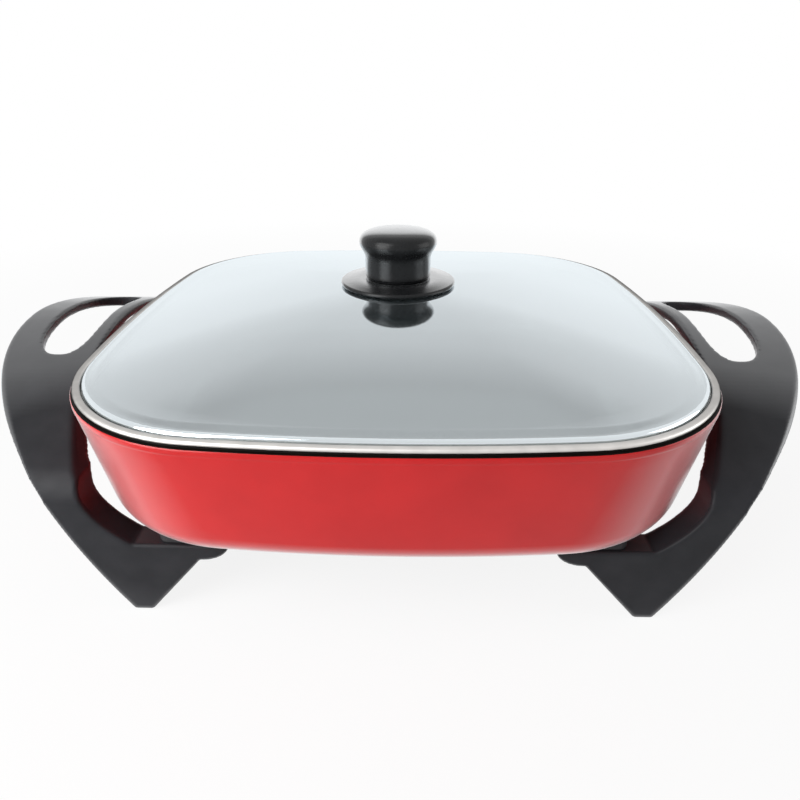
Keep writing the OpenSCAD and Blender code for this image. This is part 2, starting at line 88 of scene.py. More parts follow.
def arcPoints(centre, radius, start, end, steps):
    angles = [radians(start + (end - start) * i / steps) for i in range(steps + 1)]
    return [(centre[0] + radius * cos(a), centre[1] + radius * sin(a)) for a in angles]


# points of a rounded edge, as steps from its sharp corner
def roundCorner(out, up, steps):
    return [(out + a, up + b) for a, b in steps]


# joins rings of points into one mesh, with one material number for each band
def skinRings(rings, bands=None, capFirst=False, capLast=False, closed=False):
    count = len(rings[0])
    verts = [p for ring in rings for p in ring]
    faces = []
    marks = []
    last = len(rings) if closed else len(rings) - 1
    for j in range(last):
        k = (j + 1) % len(rings)
        for i in range(count):
            n = (i + 1) % count
            faces.append((j * count + i, j * count + n, k * count + n, k * count + i))
            marks.append(bands[j] if bands else 0)
    if capFirst:
        faces.append(tuple(range(count - 1, -1, -1)))
        marks.append(bands[0] if bands else 0)
    if capLast:
        faces.append(tuple(range((len(rings) - 1) * count, len(rings) * count)))
        marks.append(bands[-1] if bands else 0)
    return verts, faces, marks


def makePiece(name, shape, materials, rides, stands=(), sharp=32):
    verts, faces, marks = shape
    mesh = bpy.data.meshes.new(name)
    mesh.from_pydata([tuple(c * mm for c in v) for v in verts], [], faces)
    for m in materials:
        mesh.materials.append(m)
    mesh.polygons.foreach_set("material_index", marks)
    tidy = bmesh.new()
    tidy.from_mesh(mesh)
    bmesh.ops.recalc_face_normals(tidy, faces=tidy.faces)
    tidy.to_mesh(mesh)
    tidy.free()
    mesh.polygons.foreach_set("use_smooth", [True] * len(mesh.polygons))
    mesh.set_sharp_from_angle(angle=radians(sharp))
    piece = bpy.data.objects.new(name, mesh)
    scene.collection.objects.link(piece)
    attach(piece, rides)
    if stands:
        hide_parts(*stands)
    return piece


# material helpers: every finish gets its colour, gloss and relief from noise in the part's own space
def startMaterial(name):
    mat = bpy.data.materials.new(name)
    mat.use_nodes = True
    tree = mat.node_tree
    shader = tree.nodes["Principled BSDF"]
    place = tree.nodes.new("ShaderNodeTexCoord").outputs["Object"]
    return mat, tree, shader, place


def addNoise(tree, place, scale, detail=4.0, stretch=None):
    if stretch:
        squeeze = tree.nodes.new("ShaderNodeMapping")
        squeeze.inputs["Scale"].default_value = stretch
        tree.links.new(place, squeeze.inputs["Vector"])
        place = squeeze.outputs["Vector"]
    noise = tree.nodes.new("ShaderNodeTexNoise")
    noise.inputs["Scale"].default_value = scale
    noise.inputs["Detail"].default_value = detail
    tree.links.new(place, noise.inputs["Vector"])
    return noise.outputs["Fac"]


def addRamp(tree, source, stops):
    ramp = tree.nodes.new("ShaderNodeValToRGB")
    points = ramp.color_ramp.elements
    while len(points) < len(stops):
        points.new(0.5)
    for point, (at, colour) in zip(points, stops):
        point.position = at
        point.color = (*colour, 1) if isinstance(colour, tuple) else (colour, colour, colour, 1)
    tree.links.new(source, ramp.inputs["Fac"])
    return ramp.outputs["Color"]


def addBump(tree, height, shader, strength, depth):
    bump = tree.nodes.new("ShaderNodeBump")
    bump.inputs["Strength"].default_value = strength
    bump.inputs["Distance"].default_value = depth
    tree.links.new(height, bump.inputs["Height"])
    tree.links.new(bump.outputs["Normal"], shader.inputs["Normal"])


def addGlossy(tree, colour, gloss):
    shiny = tree.nodes.new("ShaderNodeBsdfAnisotropic")
    shiny.inputs["Color"].default_value = (*colour, 1)
    shiny.inputs["Roughness"].default_value = gloss
    return shiny


# two shaders in one, where the share of the second grows as the surface turns away
def mixByTilt(tree, first, second, stops):
    tilt = tree.nodes.new("ShaderNodeLayerWeight")
    tilt.inputs["Blend"].default_value = 0.5
    both = tree.nodes.new("ShaderNodeMixShader")
    tree.links.new(addRamp(tree, tilt.outputs["Facing"], stops), both.inputs["Fac"])
    tree.links.new(first.outputs["BSDF"], both.inputs[1])
    tree.links.new(second.outputs["BSDF"], both.inputs[2])
    tree.links.new(both.outputs["Shader"], tree.nodes["Material Output"].inputs["Surface"])


# a finish with mottled colour, uneven gloss and a fine relief
def mottled(name, look):
    mat, tree, shader, place = startMaterial(name)
    blotch = addNoise(tree, place, look["blotch"], 5.0)
    low, high = look["spread"]
    colour = addRamp(tree, blotch, [(low, look["dark"]), (high, look["light"])])
    tree.links.new(colour, shader.inputs["Base Color"])
    gloss = addNoise(tree, place, look["blotch"] * 2.3, 3.0)
    smooth, rough = look["gloss"]
    tree.links.new(addRamp(tree, gloss, [(0.3, smooth), (0.7, rough)]), shader.inputs["Roughness"])
    grain = addNoise(tree, place, look["grain"], 3.0, look.get("grainStretch"))
    addBump(tree, grain, shader, look["relief"], look["depth"])
    shader.inputs["Metallic"].default_value = look.get("metal", 0.0)
    shader.inputs["Specular IOR Level"].default_value = look.get("shine", 0.5)
    shader.inputs["Coat Weight"].default_value = look.get("coat", 0.0)
    shader.inputs["Coat Roughness"].default_value = look.get("coatGloss", 0.1)
    # a glossy layer grows as the surface turns away; the white ones are sheen, the steel's dark one is
    # painted shade
    if "sheenAndShade" in look:
        mirror = addGlossy(tree, look["sheenAndShadeColour"], look["sheenAndShadeGloss"])
        mixByTilt(tree, shader, mirror, look["sheenAndShade"])
    return mat


whiteSheen = (0.95, 0.96, 0.97)
finishes = {
    "redEnamel": {
        "dark": (0.47, 0.0055, 0.0065), "light": (0.53, 0.008, 0.009), "spread": (0.3, 0.7),
        "blotch": 34, "gloss": (0.2, 0.27), "grain": 420, "relief": 0.05, "depth": 0.0004,
        "shine": 0.25, "coat": 0.1, "coatGloss": 0.08,
        "sheenAndShadeColour": whiteSheen, "sheenAndShadeGloss": 0.45,
        "sheenAndShade": [(0.0, 0.0), (0.42, 0.005), (0.6, 0.09), (0.75, 0.26), (0.88, 0.5), (1.0, 0.8)],
    },
    # near black, darker than the cooking surface: a black coated lip with the shade of the gap under the
    # steel rim painted in
    "lipBlackAndShade": {
        "dark": (0.0035, 0.002, 0.0015), "light": (0.006, 0.004, 0.003), "spread": (0.3, 0.7),
        "blotch": 90, "gloss": (0.5, 0.62), "grain": 700, "relief": 0.08, "depth": 0.0003,
        "shine": 0.08,
    },
    "panInside": {
        "dark": (0.085, 0.088, 0.092), "light": (0.095, 0.099, 0.103), "spread": (0.35, 0.7),
        "blotch": 40, "gloss": (0.13, 0.17), "grain": 500, "relief": 0.015, "depth": 0.0002,
        "shine": 0.5,
    },
    "castMetal": {
        "dark": (0.025, 0.025, 0.027), "light": (0.06, 0.06, 0.063), "spread": (0.3, 0.75),
        "blotch": 120, "gloss": (0.5, 0.66), "grain": 650, "relief": 0.3, "depth": 0.0005,
        "shine": 0.25, "metal": 0.3,
    },
    "blackMoulding": {
        "dark": (0.0175, 0.018, 0.0205), "light": (0.0255, 0.026, 0.0295), "spread": (0.3, 0.7),
        "blotch": 60, "gloss": (0.36, 0.46), "grain": 1500, "relief": 0.1, "depth": 0.0002,
        "shine": 0.12,
        "sheenAndShadeColour": whiteSheen, "sheenAndShadeGloss": 0.3,
        "sheenAndShade": [
            (0.0, 0.0), (0.33, 0.0), (0.43, 0.09), (0.6, 0.14),
            (0.72, 0.2), (0.82, 0.26), (1.0, 0.8),
        ],
    },
    "knobBlack": {
        "dark": (0.006, 0.0065, 0.007), "light": (0.010, 0.0105, 0.0115), "spread": (0.3, 0.7),
        "blotch": 80, "gloss": (0.24, 0.32), "grain": 900, "relief": 0.05, "depth": 0.0002,
        "shine": 0.2,
        "sheenAndShadeColour": whiteSheen, "sheenAndShadeGloss": 0.2,
        "sheenAndShade": [
            (0.0, 0.0), (0.45, 0.005), (0.6, 0.05), (0.7, 0.46),
            (0.82, 0.74), (0.9, 0.82), (1.0, 0.95),
        ],
    },
    "polishedSteel": {
        "dark": (0.55, 0.535, 0.515), "light": (0.65, 0.632, 0.61), "spread": (0.3, 0.7),
        "blotch": 120, "gloss": (0.42, 0.52), "grain": 900, "relief": 0.03, "depth": 0.0002,
        "metal": 1.0, "grainStretch": (1, 1, 0.2),
        # the dark colour of this turning layer makes the steel darker where it turns away from view:
        # painted shade on the rim's sides and back
        "sheenAndShadeColour": (0.07, 0.07, 0.07), "sheenAndShadeGloss": 0.3,
        "sheenAndShade": [(0.0, 0.0), (0.48, 0.0), (0.64, 0.4), (0.8, 0.92), (1.0, 1.0)],
    },
    "heaterSteel": {
        "dark": (0.035, 0.034, 0.04), "light": (0.17, 0.13, 0.105), "spread": (0.32, 0.72),
        "blotch": 55, "gloss": (0.42, 0.58), "grain": 700, "relief": 0.15, "depth": 0.0003,
        "metal": 0.8,
    },
    "zincPlate": {
        "dark": (0.42, 0.425, 0.43), "light": (0.66, 0.66, 0.65), "spread": (0.35, 0.65),
        "blotch": 420, "gloss": (0.28, 0.42), "grain": 1500, "relief": 0.1, "depth": 0.0002,
        "metal": 1.0,
    },
    "pinMetal": {
        "dark": (0.46, 0.31, 0.11), "light": (0.7, 0.52, 0.24), "spread": (0.3, 0.7),
        "blotch": 240, "gloss": (0.24, 0.4), "grain": 1400, "relief": 0.08, "depth": 0.0002,
        "metal": 1.0,
    },
    "ceramic": {
        "dark": (0.56, 0.52, 0.43), "light": (0.72, 0.69, 0.61), "spread": (0.3, 0.7),
        "blotch": 500, "gloss": (0.6, 0.75), "grain": 2200, "relief": 0.2, "depth": 0.0002,
    },
    "sleeveMetal": {
        "dark": (0.5, 0.5, 0.51), "light": (0.72, 0.72, 0.73), "spread": (0.3, 0.7),
        "blotch": 200, "gloss": (0.26, 0.38), "grain": 1600, "relief": 0.15, "depth": 0.0002,
        "metal": 1.0, "grainStretch": (1, 0.05, 0.05),
    },
    "gasketRubber": {
        "dark": (0.03, 0.03, 0.031), "light": (0.06, 0.06, 0.061), "spread": (0.3, 0.7),
        "blotch": 300, "gloss": (0.55, 0.7), "grain": 1800, "relief": 0.15, "depth": 0.0002,
    },
}
made = {name: mottled(name, look) for name, look in finishes.items()}
print("finishes made:", len(made))

glass = {
    "tint": (0.86, 0.9, 0.9), "shine": (0.9, 0.965, 1.0), "gloss": 0.05,
    "wave": 26, "waveRelief": 0.02, "waveDepth": 0.0005,
    # share of light mirrored, from looking straight down to looking along the lid
    "top": [
        (0.0, 0.08), (0.32, 0.37), (0.42, 0.39), (0.5, 0.54),
        (0.62, 0.66), (0.7, 0.78), (0.78, 0.9), (1.0, 0.99),
    ],
    "under": [(0.0, 0.02), (0.6, 0.04), (1.0, 0.3)],
    "edge": [(0.0, 0.7), (0.5, 0.84), (1.0, 0.97)],
    # the lowest band of the glass edge, looking into the groove under the rim, gets a darker tint and
    # less mirror: painted shade
    "root": [(0.0, 0.45), (0.5, 0.62), (1.0, 0.85)],
    "edgeTint": (0.82, 0.89, 0.86), "rootShadeTint": (0.6, 0.66, 0.63),
}


def makeGlass(name, mirror, tint):
    mat, tree, plain, place = startMaterial(name)
    tree.nodes.remove(plain)
    clear = tree.nodes.new("ShaderNodeBsdfTransparent")
    clear.inputs["Color"].default_value = (*tint, 1)
    shiny = addGlossy(tree, glass["shine"], glass["gloss"])
    ripple = addNoise(tree, place, glass["wave"], 2.0)
    addBump(tree, ripple, shiny, glass["waveRelief"], glass["waveDepth"])
    mixByTilt(tree, clear, shiny, mirror)
    return mat


glassLooks = [
    makeGlass("lidGlass", glass["top"], glass["tint"]),
    makeGlass("lidGlassUnder", glass["under"], glass["tint"]),
    makeGlass("lidGlassEdge", glass["edge"], glass["edgeTint"]),
    makeGlass("lidGlassRootShade", glass["root"], glass["rootShadeTint"]),
]

# pan: enamelled wall, near-black lip with painted gap shade, dark cooking surface, bare cast underside
pan = {
    "lipTop": nodeBox("pan")[1][2], "depth": 66.8, "floorThick": 5, "lipHeight": 0.6, "lipSet": 0.8,
    "beadHeight": 3.4, "beadOut": 1.2, "wallOut": 0.9, "wallThick": 5.4, "lean": 10.5,
    "bottomRadius": 19, "insideRadius": 15, "wallSteps": 8,
    # how far in from the outline the rings of the underside and the floor lie
    "flat": 60, "underRings": (40, 30), "floorRing": 44,
    # rounded edges of the bead, the lip and the mouth, each as steps out and up from its corner
    "beadFoot": [(0, -0.2), (0.06, 0.3)], "beadSide": [(-0.03, 0.7), (0, 1.4)],
    "beadHead": [(0, -0.9), (-0.06, -0.4)], "beadShelf": [(-0.3, -0.08), (-0.8, 0)],
    "lipFoot": [(0, 0.02)], "lipHead": [(0, -0.5), (-0.2, -0.1), (-0.6, 0)],
    "mouthEdge": [(0.7, 0), (0.2, -0.2), (-0.1, -0.7)],
}
pan["bottom"] = pan["lipTop"] - pan["depth"]
pan["floor"] = pan["bottom"] + pan["floorThick"]


def makePan():
    lean = tan(radians(pan["lean"]))
    half = tan(radians(45 + pan["lean"] / 2))
    top = pan["lipTop"]
    low = pan["bottom"]
    floor = pan["floor"]
    flat = pan["flat"]
    beadTop = top - pan["lipHeight"]
    wallTop = beadTop - pan["beadHeight"]
    outFoot = pan["wallOut"] - lean * (wallTop - low)
    outCentre = (outFoot - pan["bottomRadius"] / half, low + pan["bottomRadius"])
    mouth = pan["wallOut"] + lean * (top - wallTop) - pan["wallThick"] / cos(radians(pan["lean"]))
    inFoot = mouth - lean * (top - floor)
    inCentre = (inFoot - pan["insideRadius"] / half, floor + pan["insideRadius"])
    cast, red, black, dark = 0, 1, 2, 3
    section = []
    bands = []

    def run(points, mark):
        section.extend(points)
        bands.extend([mark] * len(points))

    run([(-inset, low) for inset in (flat, *pan["underRings"])], cast)
    run(arcPoints(outCentre, pan["bottomRadius"], -90, -pan["lean"], 14), red)
    foot = section[-1]
    wall = pan["wallOut"]
    for step in range(1, pan["wallSteps"]):
        share = step / pan["wallSteps"]
        run([(foot[0] + (wall - foot[0]) * share, foot[1] + (wallTop - foot[1]) * share)], red)
    out = pan["beadOut"]
    lip = -pan["lipSet"]
    run(roundCorner(wall, wallTop, pan["beadFoot"]) + roundCorner(out, wallTop, pan["beadSide"]), red)
    run(roundCorner(out, beadTop, pan["beadHead"]), red)
    # the bead's shelf and the lip are black, with the shade of the gap under the rim painted in
    run(roundCorner(out, beadTop, pan["beadShelf"]) + roundCorner(lip, beadTop, pan["lipFoot"]), black)
    run(roundCorner(lip, top, pan["lipHead"]), black)
    run(roundCorner(mouth, top, pan["mouthEdge"]), dark)
    run(arcPoints(inCentre, pan["insideRadius"], -pan["lean"], -90, 12), dark)
    run([(-pan["floorRing"], floor), (-flat, floor)], dark)
    rings = [bodyRing(o, z) for o, z in section]
    inner = [bodyRing(-flat, floor, s) for s in (0.75, 0.5, 0.25)]
    outer = [bodyRing(-flat, low, s) for s in (0.25, 0.5, 0.75)]
    bands = [cast] * 3 + bands + [dark] * 2
    shape = skinRings(outer + rings + inner, bands, capFirst=True, capLast=True)
    finishList = [made["castMetal"], made["redEnamel"], made["lipBlackAndShade"], made["panInside"]]
    return makePiece("pan_shell", shape, finishList, "pot", ["pan"], sharp=38)


makePan()
print("pan shell made")

# cast shapes under the pan floor that carry the heater, the inlet and the handle arms
castings = {
    "ringRadius": 88, "ridgeWidth": 22, "ridgeDrop": 10.8, "groove": 7.6, "tubeDrop": 7,
    "gapAngle": 15.17, "ringSteps": 120,
    "padX": 97.5, "padY": 123, "padWidth": 12, "padLength": 10, "padDrop": 4,
    "padSink": pan["floorThick"] - 0.5,  # stays under the cooking surface
    "lugX": 119, "lugY": 23.5, "lugWidth": 9, "lugDrop": 6,
    "bossX": (90, 136), "bossWidth": 13, "bossDrop": 13, "sink": 1, "edge": 0.8,
}


def softenEdges(piece, width):
    bevel = piece.modifiers.new("edges", "BEVEL")
    bevel.width = width * mm
    bevel.segments = 2
    bevel.limit_method = "ANGLE"
    bevel.angle_limit = radians(40)


def makeRidge():
    half = castings["ridgeWidth"] / 2
    slot = castings["groove"] / 2
    top = pan["bottom"]
    low = top - castings["ridgeDrop"]
    tube = top - castings["tubeDrop"]
    section = [(-half, top), (-half, low), (-slot, low), (-slot, tube)]
    section += arcPoints((0, tube), slot, 180, 0, 10)[1:]
    section += [(slot, low), (half, low), (half, top)]
    rings = []
    steps = castings["ringSteps"]
    for i in range(steps + 1):
        a = radians(castings["gapAngle"] + (360 - 2 * castings["gapAngle"]) * i / steps)
        r = castings["ringRadius"]
        rings.append([((r + x) * cos(a), (r + x) * sin(a), z) for x, z in section])
    shape = skinRings(rings, capFirst=True, capLast=True)
    ridge = makePiece("heater_ridge", shape, [made["castMetal"]], "pot")
    softenEdges(ridge, castings["edge"])


def castPost(name, plan, drop, sink):
    rings = [[(x, y, z) for x, y in plan] for z in (pan["bottom"] - drop, pan["bottom"] + sink)]
    shape = skinRings(rings, capFirst=True, capLast=True)
    post = makePiece(name, shape, [made["castMetal"]], "pot")
    softenEdges(post, castings["edge"])


def makePads():
    r = castings["padWidth"] / 2
    padPlan = arcPoints((castings["padX"] + castings["padLength"], castings["padY"]), r, -90, 90, 16)
    padPlan += arcPoints((castings["padX"], castings["padY"]), r, 90, 270, 16)
    for side, sx in (("left", -1), ("right", 1)):
        for end, sy in (("front", -1), ("rear", 1)):
            plan = [(sx * x, sy * y) for x, y in padPlan]
            castPost("cast_pad_" + side + "_" + end, plan, castings["padDrop"], castings["padSink"])
    lugPlan = arcPoints((castings["lugX"], castings["lugY"]), castings["lugWidth"] / 2, 0, 360, 40)[:-1]
    for end, sy in (("front", -1), ("rear", 1)):
        plan = [(x, sy * y) for x, y in lugPlan]
        castPost("cast_lug_" + end, plan, castings["lugDrop"], castings["sink"])
    x0, x1 = castings["bossX"]
    half = castings["bossWidth"] / 2
    bossPlan = [(x0, -half), (x1, -half), (x1, half), (x0, half)]
    castPost("probe_boss", bossPlan, castings["bossDrop"], castings["sink"])


makeRidge()
makePads()
print("cast underside made")

# lid: domed glass with a rounded edge and a raised shoulder, inside a rolled steel rim
lid = {
    "low": nodeBox("lid_glass")[0][2], "apex": nodeBox("lid_glass")[1][2], "glass": 3, "edgeInset": 4.3,
    "edgeRadius": 2, "shoulder": 6.5, "shoulderRise": 1, "shoulderSteps": 8,
    "crownCurve": 0.2, "crownSteps": 24, "middle": 0.04, "hole": 4,
    "rimTop": nodeBox("lid_rim")[1][2], "rimLow": nodeBox("lid_rim")[0][2],
    "rimHeight": 2.4, "rimWidth": 4, "sheet": 0.6, "skirtInset": 6.25, "skirtBend": 0.3,
}


# rings of one face of the glass, from the rounded edge to the screw hole
def glassRings(top):
    flat = top - lid["apex"] + lid["low"] + lid["glass"]
    inset = lid["edgeInset"] + lid["edgeRadius"]
    rings = []
    steps = lid["shoulderSteps"]
    for i in range(steps + 1):
        rise = lid["shoulderRise"] * (1 - cos(pi * i / steps)) / 2
        rings.append(bodyRing(-inset - lid["shoulder"] * i / steps, flat + rise))
    crown = top - flat - lid["shoulderRise"]
    curve = lid["crownCurve"]
    steps = lid["crownSteps"]
    for i in range(1, steps + 1):
        s = 1 - (1 - lid["middle"]) * i / steps
        fall = crown * s * s * (1 + curve - curve * s * s)
        rings.append(bodyRing(-inset - lid["shoulder"], top - fall, s))
    # the middle turns from the body outline into the round hole
    hole = []
    for x, y, _ in rings[-1]:
        r = lid["hole"] / sqrt(x * x + y * y)
        hole.append((x * r, y * r, top))
    return rings + [hole]


def makeGlassPiece():
    inset = lid["edgeInset"] + lid["edgeRadius"]
    edgeZ = lid["low"] + lid["glass"] - lid["edgeRadius"]
    bend = arcPoints((-inset, edgeZ), lid["edgeRadius"], 0, 90, 8)
    edge = [bodyRing(o, z) for o, z in bend[:-1]]
    top = glassRings(lid["apex"])
    low = glassRings(lid["apex"] - lid["glass"])
    # the root bands at the foot of the edge carry the painted shade of the groove
    face, under, bright, root = 0, 1, 2, 3
    rings = [bodyRing(-lid["edgeInset"], lid["low"])] + edge + top + low[::-1]
    bands = [root] * 3 + [bright] * (len(edge) - 2) + [face] * (len(top) - 1) + [under] * (len(low) + 1)
    shape = skinRings(rings, bands, closed=True)
    return makePiece("glass_lid", shape, glassLooks, "lid", ["lid_glass"], sharp=50)


def makeRim():
    r = lid["rimHeight"] / 2
    z = lid["rimTop"] - r
    skirt = lid["skirtInset"]
    sheet = lid["sheet"]
    inner = r - lid["rimWidth"]
    bend = lid["skirtBend"]
    section = [(-skirt - sheet, lid["rimLow"]), (-skirt, lid["rimLow"])]
    section += [(-skirt, z - r - bend), (-skirt + bend, z - r)]
    section += arcPoints((-r, z), r, -90, 90, 16)
    section += arcPoints((inner, z), r, 90, 180, 8)
    section += arcPoints((inner, z), r - sheet, 180, 90, 6)
    section += arcPoints((-r, z), r - sheet, 90, -90, 10)
    section += [(-skirt - sheet, z - r + sheet)]
    shape = skinRings([bodyRing(o, h) for o, h in section], closed=True)
    finish = [made["polishedSteel"]]
    return makePiece("steel_rim", shape, finish, "lid", ["lid_rim"], sharp=42)


makeGlassPiece()
makeRim()
print("lid made")

# knob: domed cap that flares out of a neck with a narrower base, on a wide thin flange
knob = {
    "foot": nodeBox("lid_knob")[0][2], "baseRadius": 18.4, "baseHeight": 1.2,
    "neckRadius": 19.2, "neckRings": (4, 6, 8), "tip": 0.05,
    # rounded edges of base and neck, each as steps out and up from its corner
    "baseFoot": [(-0.4, 0), (0, 0.4)], "baseHead": [(0, -0.3), (0.15, 0)],
    "neckFoot": [(-0.45, 0.02), (-0.1, 0.25), (0, 0.7)],
    # radius and height above the flange, from the top of the neck over the cap
    "cap": [
        (19.2, 11.9), (19.5, 13.6), (20.2, 15.4), (21.3, 17.1), (22.1, 18.7), (22.5, 20.1),
        (22.55, 21.1), (22.3, 22.5), (21.7, 23.8), (20.6, 25.0), (18.9, 26.0), (16.3, 26.9),
        (12.4, 27.6), (8.0, 28.0), (4.0, 28.22), (0.05, 28.3),
    ],
    "flangeTop": nodeBox("knob_flange")[1][2], "flangeLow": nodeBox("knob_flange")[0][2],
    "flangeRadius": nodeBox("knob_flange")[1][0], "flangeEdge": 1.25, "flangeHole": 2.8, "seat": 13,
    # radius, and share of the fall towards the edge
    "flangeSlope": [(29.5, 0.62), (26.5, 0.26), (24, 0.05), (22.5, 0)],
}


def makeKnob():
    z = knob["foot"]
    base = knob["baseRadius"]
    step = knob["baseHeight"]
    neck = knob["neckRadius"]
    profile = [(knob["tip"], 0)]
    profile += roundCorner(base, 0, knob["baseFoot"]) + roundCorner(base, step, knob["baseHead"])
    profile += roundCorner(neck, step, knob["neckFoot"])
    profile += [(neck, h) for h in knob["neckRings"]] + knob["cap"]
    shape = skinRings([roundRing(r, z + h) for r, h in profile], capFirst=True, capLast=True)
    makePiece("knob_body", shape, [made["knobBlack"]], "lid", ["lid_knob"], sharp=48)
    edge = knob["flangeEdge"]
    top = knob["flangeTop"]
    rim = (knob["flangeRadius"] - edge, knob["flangeLow"] + edge)
    profile = [(knob["flangeHole"], top - 2 * edge), (knob["seat"], top - 2 * edge)]
    profile += arcPoints(rim, edge, -90, 90, 12)
    fall = top - 2 * edge - knob["flangeLow"]
    profile += [(r, top - share * fall) for r, share in knob["flangeSlope"]]
    profile += [(knob["flangeHole"], top)]
    shape = skinRings([roundRing(r, h, 128) for r, h in profile], closed=True)
    makePiece("flange_disc", shape, [made["knobBlack"]], "lid", ["knob_flange"], sharp=40)


makeKnob()
print("knob made")

# handles: each is the body that three outlines have in common, with its edges rounded over
handle = {
    "gripTop": nodeBox("right_handle")[1][2], "reach": nodeBox("right_handle")[1][0],
    "legFace": nodeBox("right_handle")[1][1], "armEnd": nodeBox("right_handle")[0][0],
    "knee": 5.5, "kneeDrop": 41, "kneeRound": 10, "archPower": 1.73,
    "gripThick": 5.5, "rootThick": 3, "rootSpan": 100, "gripWidth": 18, "gripPower": 1.25,
    "holeFrom": 174.2, "holeLength": 101, "holePower": (6, 0.4),
    "legThick": 16, "legIn": 14.8, "legBow": 5.6, "foot": 131, "footWidth": 9.5, "footSlope": 0.87,
    "armThick": 9, "armRound": 14, "armRoot": 20, "rail": 166.8, "railLean": 6,
    # bends seen from the front, as steps sideways and up
    "kneeStep": (-2, -6), "kneePull": (4, 11), "gripEnd": (2, -16), "railEnd": 16,
    "railFoot": (1, 19), "legTop": (1, 1), "legStart": -7, "armPull": (-3, 12),
    # bends seen from the side
    "rootStep": 8, "rootPull": 4, "rootFall": 16,
    "screw": (castings["padX"], castings["padY"]), "pocket": 4.8, "bore": 2.3,
    "edge": 1.4, "gripEdge": 2.2, "holeEdge": 1.2,
    # how far the outlines run past the handle, the size of a mesh cell and the grid's margin
    "past": 40, "under": -20, "side": 10, "mesh": 1.0, "margin": 2.63,
}


def bendPoints(p, q, r, steps=24):
    points = []
    for i in range(steps + 1):
        t = i / steps
        a, b, c = (1 - t) ** 2, 2 * t * (1 - t), t * t
        points.append((a * p[0] + b * q[0] + c * r[0], a * p[1] + b * q[1] + c * r[1]))
    return points


def gripEdge(y):
    low = body["halfWidth"] + handle["knee"]
    along = min(abs(y) / handle["legFace"], 1) ** handle["gripPower"]
    return low + (handle["reach"] - low) * cos(pi / 2 * along)


def planOutline():
    end = int(handle["legFace"]) + handle["side"]
    return [(gripEdge(y), y) for y in range(-end, end + 1)] + [(0, end), (0, -end)]


def holeOutline():
    half = handle["holeLength"] / 2
    square, blunt = handle["holePower"]
    sides = {1: [], -1: []}
    for side, points in sides.items():
        for i in range(-29, 30):
            y = sin(pi / 2 * i / 30) * half
            far = gripEdge(y) - handle["gripWidth"]
            spread = (far - handle["holeFrom"]) / 2 * (1 - abs(y / half) ** square) ** blunt
            points.append(((far + handle["holeFrom"]) / 2 + side * spread, y))
    return sides[1] + sides[-1][::-1]


def stepFrom(point, step):
    return (point[0] + step[0], point[1] + step[1])


def frontOutline():
    wide = body["halfWidth"]
    kneeZ = handle["gripTop"] - handle["kneeDrop"]
    pad = pan["bottom"] - castings["padDrop"]
    armLow = pad - handle["armThick"]
    foot = (handle["foot"], 0)
    knee = stepFrom((wide + handle["knee"], kneeZ), handle["kneeStep"])
    inside = wide - handle["legIn"]
    bow = ((foot[0] + knee[0]) / 2 + handle["legBow"], knee[1] / 2)
    far = stepFrom((handle["reach"], handle["gripTop"]), handle["gripEnd"])
    rail = handle["rail"]
    over = far[1] + handle["past"]
    points = bendPoints(foot, bow, knee) + bendPoints(knee, stepFrom(knee, handle["kneePull"]), far)[1:]
    points += [(far[0], over), (rail + handle["railLean"], over), (rail, far[1] + handle["railEnd"])]
    points += [stepFrom((wide, kneeZ), handle["railFoot"]), stepFrom((inside, kneeZ), handle["legTop"])]
    armPull = stepFrom((inside, pad), handle["armPull"])
    points += bendPoints((inside, kneeZ + handle["legStart"]), armPull, (inside - handle["armRoot"], pad))
    for i in range(13):
        a = pi / 2 * i / 12
        x = handle["armEnd"] + handle["armRound"] * (1 - cos(a))
        points.append((x, pad - handle["armThick"] * sin(a)))
    heel = foot[0] - handle["footWidth"]
    return points + [(heel - armLow * handle["footSlope"], armLow), (heel, 0)]


def strapTop(y):
    return handle["gripTop"] - handle["kneeDrop"] * (abs(y) / handle["legFace"]) ** handle["archPower"]


def strapLow(y):
    return strapTop(y) - handle["gripThick"] - handle["rootThick"] * (y / handle["rootSpan"]) ** 2


def sideOutline():
    face = handle["legFace"]
    back = face - handle["legThick"]
    kneeZ = handle["gripTop"] - handle["kneeDrop"]
    kneeY = face - handle["kneeRound"]
    rootY = back - handle["rootStep"]
    under = handle["under"]
    knee = bendPoints((face, kneeZ - handle["kneeRound"]), (face, kneeZ), (kneeY, strapTop(kneeY)))
    legBack = pan["bottom"] - castings["padDrop"] + handle["rootFall"]
    rootZ = strapLow(rootY)
    root = bendPoints((rootY, rootZ), (back, rootZ - handle["rootPull"]), (back, legBack))
    over = knee + [(kneeY * i / 40, strapTop(kneeY * i / 40)) for i in range(39, -1, -1)]
    below = [(rootY * i / 40, strapLow(rootY * i / 40)) for i in range(40)] + root
    right = [(face, under)] + over
    left = [(-y, z) for y, z in reversed(right[:-1])]
    inner = [(back, under)] + below[::-1]
    return right + left + [(-y, z) for y, z in inner[:-1]] + inner[::-1]


# distance to a closed outline, less than zero inside it
def outlineDistance(px, py, outline):
    away = np.full(px.shape, 1e9)
    inside = np.zeros(px.shape, bool)
    for (ax, ay), (bx, by) in zip(outline, outline[1:] + outline[:1]):
        dx = bx - ax
        dy = by - ay
        t = np.clip(((px - ax) * dx + (py - ay) * dy) / (dx * dx + dy * dy), 0, 1)
        away = np.minimum(away, (px - ax - t * dx) ** 2 + (py - ay - t * dy) ** 2)
        if dy:
            inside ^= ((ay > py) != (by > py)) & (px < ax + (py - ay) * dx / dy)
    return np.where(inside, -1, 1) * np.sqrt(away)


# what two bodies have in common, with the edge where they meet rounded
def roundedOverlap(a, b, radius):
    corner = np.hypot(np.maximum(a + radius, 0), np.maximum(b + radius, 0))
    return np.minimum(np.maximum(a, b), -radius) + corner


